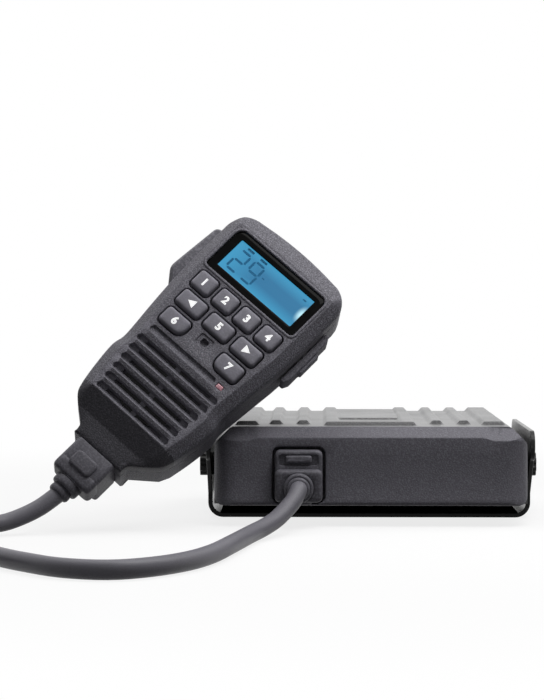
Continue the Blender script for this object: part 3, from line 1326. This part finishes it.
def cord_tie():
    """Strap over the coil's turns: a thin flat section carried over an arch that stands on the floor."""
    low, high = COIL_R - TIE_TURNS * COIL_PITCH - TIE_IN, COIL_R + TIE_OUT
    side = TIE_TOP - TIE_CORNER
    arch = ((low, TIE_FOOT), (low, side), (low + TIE_CORNER, TIE_TOP), (high - TIE_CORNER, TIE_TOP),
            (high, side), (high, TIE_FOOT))
    line = smooth_curve(arch, 6)
    t = unit(np.gradient(line, axis=0))
    square = np.stack([-t[:, 1], t[:, 0]], 1)
    section = round_rect(*TIE_SECTION, steps=2)
    flat = line[:, None] + section[None, :, 1:] * square[:, None]
    a = math.radians(TIE_AT)
    out, round_coil = np.array((math.cos(a), math.sin(a), 0)), np.array((-math.sin(a), math.cos(a), 0))
    rows = (np.array((COIL_X, COIL_Y, 0)) + flat[..., :1] * out + flat[..., 1:] * np.array((0, 0, 1.0))
            + section[None, :, :1] * round_coil)
    return capped(rows)


# Settings
class MRD_PG_stage(bpy.types.PropertyGroup):
    """Camera, floor and light."""
    lens: bpy.props.FloatProperty(
        name="Lens", description="Focal length in mm on a 36 mm sensor", default=117.77, min=20, max=300)
    camera: bpy.props.FloatVectorProperty(
        name="Camera", description="Place of the camera", subtype="TRANSLATION", unit="LENGTH",
        default=(-0.0185, -0.787, 0.0786))
    look: bpy.props.FloatVectorProperty(
        name="Look", description="Direction of view", subtype="DIRECTION", default=(-0.01834, 1.0, -0.02926))
    floor_tone: bpy.props.FloatVectorProperty(
        name="Floor", description="Colour of the floor", subtype="COLOR",
        default=(0.9, 0.9, 0.9), min=0, max=1)
    bounce_tone: bpy.props.FloatVectorProperty(
        name="Bounce", description="Colour of the light off the floor", subtype="COLOR",
        default=(0.07, 0.07, 0.07), min=0, max=1)
    ambient: bpy.props.FloatProperty(
        name="Ambient", description="Strength of the light all round", default=0.1, min=0, max=2)
    lamp_power: bpy.props.FloatProperty(
        name="Lamp", description="Power of the large lamp overhead", unit="POWER",
        default=4.4, min=0, max=200)


class MRD_PG_handset(bpy.types.PropertyGroup):
    """Handset and cord."""
    shell_tone: bpy.props.FloatProperty(
        name="Shell", description="Grey of the moulded shell", subtype="FACTOR", default=0.115, min=0, max=1)
    key_tone: bpy.props.FloatProperty(
        name="Keys", description="Grey of the keys", subtype="FACTOR", default=0.19, min=0, max=1)
    cord_tone: bpy.props.FloatProperty(
        name="Cord", description="Grey of the cord's jacket", subtype="FACTOR", default=0.13, min=0, max=1)
    cord_length: bpy.props.FloatProperty(
        name="Cord length", description="Length of the cord between its plugs", unit="LENGTH",
        subtype="DISTANCE", default=1.45, min=0.5, max=3)
    numeral: bpy.props.FloatProperty(
        name="Numeral", description="Size of the numerals on the keys", unit="LENGTH", subtype="DISTANCE",
        default=0.0037, min=0.001, max=0.006)


class MRD_PG_case(bpy.types.PropertyGroup):
    """Radio case and bracket."""
    panel_tone: bpy.props.FloatProperty(
        name="Panel", description="Grey of the front panel", subtype="FACTOR", default=0.125, min=0, max=1)
    cover_tone: bpy.props.FloatProperty(
        name="Cover", description="Grey of the painted cover", subtype="FACTOR", default=0.12, min=0, max=1)
    edge: bpy.props.FloatProperty(
        name="Edge", description="Rounding of the chassis's edges", unit="LENGTH", subtype="DISTANCE",
        default=0.0003, min=0.0001, max=0.002)


# Operators
class MRD_OT_stage(bpy.types.Operator):
    """Make the camera, the pale floor, the soft lamps and the white surroundings."""
    bl_idname = "mrd.stage"
    bl_label = "Stage"

    def execute(self, context):
        stage = context.scene.mrd_stage
        context.scene.view_settings.view_transform = "Standard"
        context.scene.camera = self.camera(stage)
        self.floor(stage)
        for name, place, target, size, share in LAMPS:
            self.lamp(name, place, target, size, stage.lamp_power * share)
        self.surroundings(context.scene, stage.ambient)
        return {"FINISHED"}

    def camera(self, stage):
        """Camera at its place, turned to the direction of view."""
        cam = link("camera", bpy.data.cameras.new("camera"))
        cam.data.lens = stage.lens
        cam.data.sensor_width = SENSOR_WIDTH
        cam.data.clip_start, cam.data.clip_end = CLIP
        cam.location = stage.camera
        cam.rotation_mode = "QUATERNION"
        cam.rotation_quaternion = Vector(stage.look).to_track_quat("-Z", "Y")
        return cam

    def floor(self, stage):
        """Flat disc under the part."""
        a = np.radians(np.arange(0, 360, FLOOR_STEP))
        rim = np.stack([np.cos(a), np.sin(a), np.zeros_like(a)], 1)
        points, faces = carried([rim * radius for radius in FLOOR_RADII], cap_first=True)
        mesh = bpy.data.meshes.new("floor")
        mesh.from_pydata((points - (0, 0, FLOOR_DROP)).tolist(), [], faces)
        mesh.materials.append(self.floor_finish(stage))
        link("floor", mesh)

    def floor_finish(self, stage):
        """As white as the surroundings to the camera and in reflections, but less near the part."""
        mat = bpy.data.materials.new("floor")
        tree = blank_tree(mat)
        camera_ray = add(tree, "ShaderNodeLightPath").outputs["Is Camera Ray"]
        tone = mixed(tree, camera_ray, (*stage.bounce_tone, 1), (*stage.floor_tone, 1))
        matt = add(tree, "ShaderNodeBsdfDiffuse", [("Color", tone)]).outputs[0]
        shine = add(tree, "ShaderNodeEmission", [("Color", WHITE), ("Strength", 1.0)]).outputs[0]
        away = length_of(tree, add(tree, "ShaderNodeTexCoord").outputs["Object"])
        fade = ranged(tree, away, SHADE_FROM, SHADE_TO, SHADE_LEAST, 1.0, kind="SMOOTHSTEP")
        share = maths(tree, "MULTIPLY", seen_directly(tree), fade)
        both = add(tree, "ShaderNodeMixShader", [(0, share), (1, matt), (2, shine)])
        add(tree, "ShaderNodeOutputMaterial", [("Surface", both.outputs[0])])
        return mat

    def lamp(self, name, place, target, size, power):
        """Square lamp turned to a target."""
        data = bpy.data.lights.new(name, "AREA")
        data.size = size
        data.energy = power
        obj = link(name, data)
        obj.location = place
        obj.rotation_euler = (Vector(target) - Vector(place)).to_track_quat("-Z", "Y").to_euler()
        obj.visible_camera = False

    def surroundings(self, scene, ambient):
        """White of strength 1 to the camera and in reflections, a softer light elsewhere."""
        scene.world = bpy.data.worlds.new("surroundings")
        tree = blank_tree(scene.world)
        soft = add(tree, "ShaderNodeBackground", [("Color", WHITE), ("Strength", ambient)]).outputs[0]
        white = add(tree, "ShaderNodeBackground", [("Color", WHITE), ("Strength", 1.0)]).outputs[0]
        both = add(tree, "ShaderNodeMixShader", [(0, seen_directly(tree)), (1, soft), (2, white)])
        add(tree, "ShaderNodeOutputWorld", [("Surface", both.outputs[0])])


class MRD_OT_finishes(bpy.types.Operator):
    """Make every finish and give the CAD nodes theirs."""
    bl_idname = "mrd.finishes"
    bl_label = "Finishes"

    def execute(self, context):
        make_finishes(context.scene.mrd_handset, context.scene.mrd_case)
        for node, slot in SLOT_OF.items():
            data = frame["nodes"][node].data
            data.materials.clear()
            data.materials.append(FINISH[slot])
        return {"FINISHED"}


class MRD_OT_cord(bpy.types.Operator):
    """Make the cord with its coil and strap, and the two plugs on its ends."""
    bl_idname = "mrd.cord"
    bl_label = "Cord"

    def execute(self, context):
        path = cord_path()
        runs_of_cord = ("cord_radio_run", "cord_coil", "cord_handset_run")
        cord = piece("cord", [tube(path, CORD_R, CORD_SIDES)], "radio", "cord_jacket",
                     runs_of_cord, sharp=60)
        plugs = [stand_in("radio_plug_body", "radio_plug", plug_shapes(at_radio_plug), sharp=45),
                 stand_in("handset_plug_body", "handset_plug", plug_shapes(at_handset_plug), sharp=45)]
        tie = piece("cord_tie", [cord_tie()], "radio", "washer_rubber")
        return {"FINISHED"}


class MRD_OT_shells(bpy.types.Operator):
    """Make the handset's front and back shells."""
    bl_idname = "mrd.shells"
    bl_label = "Handset shells"

    def execute(self, context):
        front = stand_in("handset_front", "handset_front_shell", front_shell(), sharp=50)
        self.shade(front.data)
        dressed("handset_back_shell", 0.3, angle=40)
        return {"FINISHED"}

    def shade(self, mesh):
        """A paler finish deep in the louvres, so that their slopes show, and a darker chin and neck."""
        x, depth, z = in_handset(read(mesh.polygons, "center")).T
        i = np.clip(np.round((SLOT_Z - z) / SLOT_PITCH), 0, SLOT_COUNT - 1)
        over = z - SLOT_Z + SLOT_PITCH * i
        beside = np.abs(x) < SLOT_HALF - SLOT_TAPER * i - PALE_EASE
        groove = (over > PALE_HEIGHTS[0]) & (over < PALE_HEIGHTS[1]) & beside
        deep = groove & (depth > PALE_DEPTHS[0]) & (depth < PALE_DEPTHS[1])
        mesh.materials.append(FINISH["recess"])
        mesh.materials.append(FINISH["chin"])
        which = np.where(z < CHIN_TOP - CHIN_EDGE, 2, deep)
        mesh.polygons.foreach_set("material_index", which.astype(np.int32))


class MRD_OT_keys(bpy.types.Operator):
    """Make the nine keys and the white figures on them."""
    bl_idname = "mrd.keys"
    bl_label = "Keys"

    def execute(self, context):
        size = context.scene.mrd_handset.numeral / MM
        for key in KEYS:
            stand_in(key.name + "_cap", key.name, self.cap(key))
            piece(key.name + "_figure", self.figure(key, size), key.name, "legend", weld=FINE_WELD)
        return {"FINISHED"}

    def cap(self, key):
        """Outline carried from the foot up a drafted side, round the edge and onto a low crown."""
        return handset_solid(lambda grow: key_outline(key, grow - KEY_EASE), KEY_LINE, (key.x, key.z))

    def figure(self, key, size):
        """An arrow or a numeral on the crown."""
        if key.legend in "<>":
            sign = -1 if key.legend == "<" else 1
            return raised_flat([arrow(sign, key.x, key.z)], ARROW_DEPTH, LEGEND_HEIGHT)
        return [lettering(key.legend, size, key.x, key.z)]


class MRD_OT_display(bpy.types.Operator):
    """Make the black frame of the lens, the lit glass behind it, its figures and the status light."""
    bl_idname = "mrd.display"
    bl_label = "Display"

    def execute(self, context):
        at = (0, WINDOW_Z)
        size, radii = (WINDOW_W - LENS_EASE, WINDOW_H - LENS_EASE), WINDOW_R - LENS_EASE / 2
        edge = partial(round_rect, *size, radii, steps=8)
        opening = partial(round_rect, LCD_W, LCD_H, LCD_R, steps=8)
        rows = stepped(edge, LENS_OUTER_LINE, at) + stepped(opening, LENS_INNER_LINE, at)
        stand_in("lens_frame", "display_lens", [placed(carried(rows, ring=True), on_handset)])
        glass = stand_in("lit_glass", "lcd_glass", handset_solid(opening, LCD_LINE, at))
        self.unwrap(glass.data)
        bars = [bar for figure, x in FIGURES for bar in segment_figure(figure, x)]
        bars += [round_rect(w, h, r) + (x, z) for w, h, r, x, z in MARKS]
        figures = raised_flat(bars, LCD_FRONT, FIGURE_PROUD)
        piece("display_figures", figures, "radio", "digit", weld=FINE_WELD)
        light = partial(round_rect, LIGHT_W, LIGHT_H, LIGHT_R)
        stand_in("light_lens", "status_light", handset_solid(light, LIGHT_LINE, (LIGHT_X, LIGHT_Z)))
        return {"FINISHED"}

    def unwrap(self, mesh):
        """UV from the place on the glass: 0 to 1 across the lit width and the lit height."""
        x, _, z = in_handset(read(mesh.vertices, "co")).T
        index = read(mesh.loops, "vertex_index", 1, np.int32)[:, 0]
        uv = np.stack([x / LCD_W + 0.5, (z - WINDOW_Z) / LCD_H + 0.5], 1)[index]
        mesh.uv_layers.new(name="face").data.foreach_set("uv", uv.astype(np.float32).ravel())


class MRD_OT_side_controls(bpy.types.Operator):
    """Make the push-to-talk bar and the cover of the accessory jacks."""
    bl_idname = "mrd.side_controls"
    bl_label = "Side controls"

    def execute(self, context):
        outline = round_polygon(PTT_OUTLINE, PTT_CORNER)
        normal = -outward(outline)
        stand_in("talk_bar", "ptt_bar", handset_solid(lambda grow: outline + grow * normal, PTT_LINE))
        dressed("jack_cover", 0.45, segments=3)
        return {"FINISHED"}


class MRD_OT_case(bpy.types.Operator):
    """Make the radio's panel and cover, and dress its chassis."""
    bl_idname = "mrd.case"
    bl_label = "Radio case"

    def execute(self, context):
        stand_in("front_panel", "radio_front_panel", front_panel(), sharp=55)
        stand_in("top_cover", "radio_top_cover", top_cover(), sharp=55)
        dressed("radio_chassis", context.scene.mrd_case.edge / MM)
        return {"FINISHED"}


class MRD_OT_bracket(bpy.types.Operator):
    """Dress the bracket, its washers and its thumbscrews."""
    bl_idname = "mrd.bracket"
    bl_label = "Bracket"

    def execute(self, context):
        self.dull_seat(dressed("bracket", 0.3, segments=3).data)
        dressed("bracket_washers", 0.15)
        dressed("left_thumbscrew", 0.25)
        dressed("right_thumbscrew", 0.25)
        return {"FINISHED"}

    def dull_seat(self, mesh):
        """A matt finish on the flat of the base under the case."""
        high = read(mesh.polygons, "center")[:, 2]
        upward = read(mesh.polygons, "normal")[:, 2]
        seat = (upward > FACING_UP) & (high < SEAT_TOP * MM)
        mesh.materials.append(FINISH["seat"])
        mesh.polygons.foreach_set("material_index", seat.astype(np.int32))


class MRD_OT_connectors(bpy.types.Operator):
    """Dress the connectors on the rear wall and the stud on the handset's back."""
    bl_idname = "mrd.connectors"
    bl_label = "Connectors"

    def execute(self, context):
        for node, width in (("antenna_socket", 0.25), ("antenna_insulator", 0.15), ("antenna_contact", 0.1),
                            ("speaker_jack", 0.2), ("power_gland", 0.4), ("hanger_stud", 0.3)):
            dressed(node, width)
        return {"FINISHED"}


class MRD_PT_panel(bpy.types.Panel):
    """The parts of the radio and their sizes and colours."""
    bl_idname = "MRD_PT_panel"
    bl_label = "Mobile radio"
    bl_space_type = "VIEW_3D"
    bl_region_type = "UI"
    bl_category = "Mobile radio"

    def draw(self, context):
        for group in GROUPS:
            settings = getattr(context.scene, group)
            box = self.layout.box()
            for key in settings.__annotations__:
                box.prop(settings, key)
        for operator in OPERATORS:
            self.layout.operator(operator.bl_idname)


OPERATORS = (MRD_OT_stage, MRD_OT_finishes, MRD_OT_cord, MRD_OT_shells, MRD_OT_keys, MRD_OT_display,
             MRD_OT_side_controls, MRD_OT_case, MRD_OT_bracket, MRD_OT_connectors)
GROUPS = {"mrd_stage": MRD_PG_stage, "mrd_handset": MRD_PG_handset, "mrd_case": MRD_PG_case}


def register():
    """Register the classes and hang the settings on the scene."""
    for cls in (*GROUPS.values(), *OPERATORS, MRD_PT_panel):
        bpy.utils.register_class(cls)
    for name, cls in GROUPS.items():
        setattr(bpy.types.Scene, name, bpy.props.PointerProperty(type=cls))


def unregister():
    """Take the settings off the scene and unregister the classes."""
    for name in GROUPS:
        delattr(bpy.types.Scene, name)
    for cls in (MRD_PT_panel, *reversed(OPERATORS), *reversed(list(GROUPS.values()))):
        bpy.utils.unregister_class(cls)


def main():
    """Register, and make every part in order."""
    register()
    bpy.ops.mrd.stage()
    bpy.ops.mrd.finishes()
    bpy.ops.mrd.cord()
    bpy.ops.mrd.shells()
    bpy.ops.mrd.keys()
    bpy.ops.mrd.display()
    bpy.ops.mrd.side_controls()
    bpy.ops.mrd.case()
    bpy.ops.mrd.bracket()
    bpy.ops.mrd.connectors()


if __name__ == "__main__":
    main()
